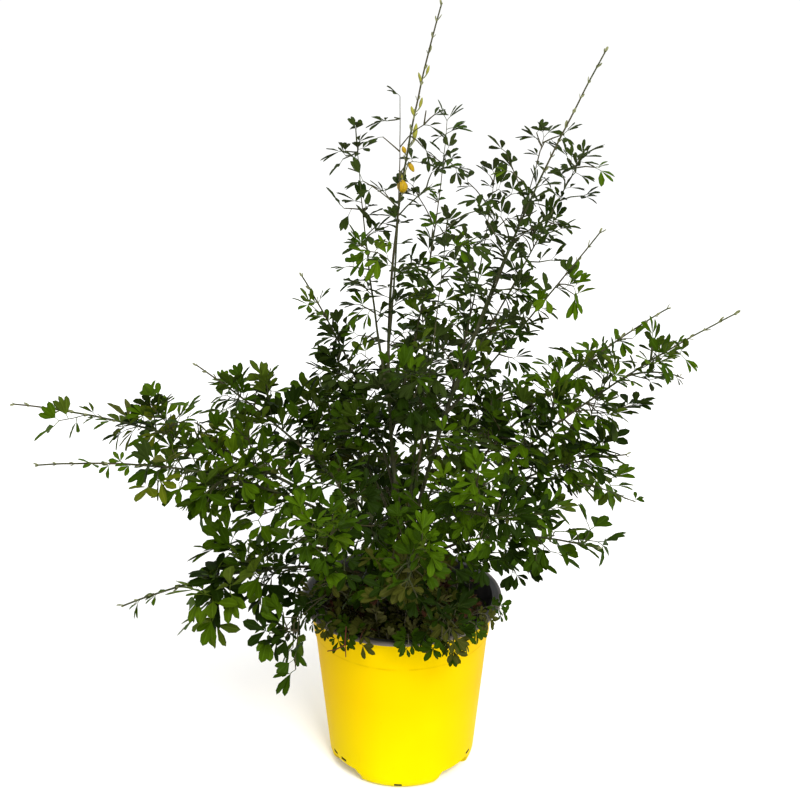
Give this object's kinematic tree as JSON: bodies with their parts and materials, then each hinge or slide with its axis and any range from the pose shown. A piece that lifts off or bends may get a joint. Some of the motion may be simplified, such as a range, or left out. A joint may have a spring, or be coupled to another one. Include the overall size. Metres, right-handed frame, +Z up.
{
  "type": "potted broom shrub",
  "caption": "Young broom shrub with three-part leaves, long bare spikes and a few yellow buds, growing in a round tapered yellow plastic nursery pot of compost.",
  "frame": {"origin": "centre of the pot's flat underside, where it stands", "axes": "+Z up along the pot's axis, -Y towards the side that the picture shows, +X to the right there"},
  "size_m": [0.6847, 0.4506, 0.7523],
  "materials": {
    "pot_plastic": "semi-gloss thermoformed sheet",
    "compost": "matte, crumbly",
    "bark": "matte",
    "foliage": "satin leaf"
  },
  "bodies": {
    "root": {"pot": "pot_plastic", "compost": "compost", "trunk": "bark", "bough_spire": "bark", "foliage_spire": "foliage", "bough_right_leader": "bark", "foliage_right_leader": "foliage", "bough_heart": "bark", "foliage_heart": "foliage", "bough_spire_left": "bark", "foliage_spire_left": "foliage", "bough_spire_mid": "bark", "foliage_spire_mid": "foliage", "bough_spire_right": "bark", "foliage_spire_right": "foliage", "bough_right_crown": "bark", "foliage_right_crown": "foliage", "bough_right_inner": "bark", "foliage_right_inner": "foliage", "bough_right_outer": "bark", "foliage_right_outer": "foliage", "bough_right_flare": "bark", "foliage_right_flare": "foliage", "bough_east_long": "bark", "foliage_east_long": "foliage", "bough_east_high": "bark", "foliage_east_high": "foliage", "bough_east_low": "bark", "foliage_east_low": "foliage", "bough_east_front": "bark", "foliage_east_front": "foliage", "bough_rim_right": "bark", "foliage_rim_right": "foliage", "bough_west_long": "bark", "foliage_west_long": "foliage", "bough_west_low": "bark", "foliage_west_low": "foliage", "bough_west_high": "bark", "foliage_west_high": "foliage", "bough_west_back": "bark", "foliage_west_back": "foliage", "bough_southwest_low": "bark", "foliage_southwest_low": "foliage", "bough_southwest_droop": "bark", "foliage_southwest_droop": "foliage", "bough_front_left": "bark", "foliage_front_left": "foliage", "bough_front_centre": "bark", "foliage_front_centre": "foliage", "bough_front_right": "bark", "foliage_front_right": "foliage", "bough_back_left": "bark", "foliage_back_left": "foliage", "bough_back_centre": "bark", "foliage_back_centre": "foliage", "bough_back_right": "bark", "foliage_back_right": "foliage", "bough_back_low": "bark", "foliage_back_low": "foliage"}
  },
  "joints": []
}
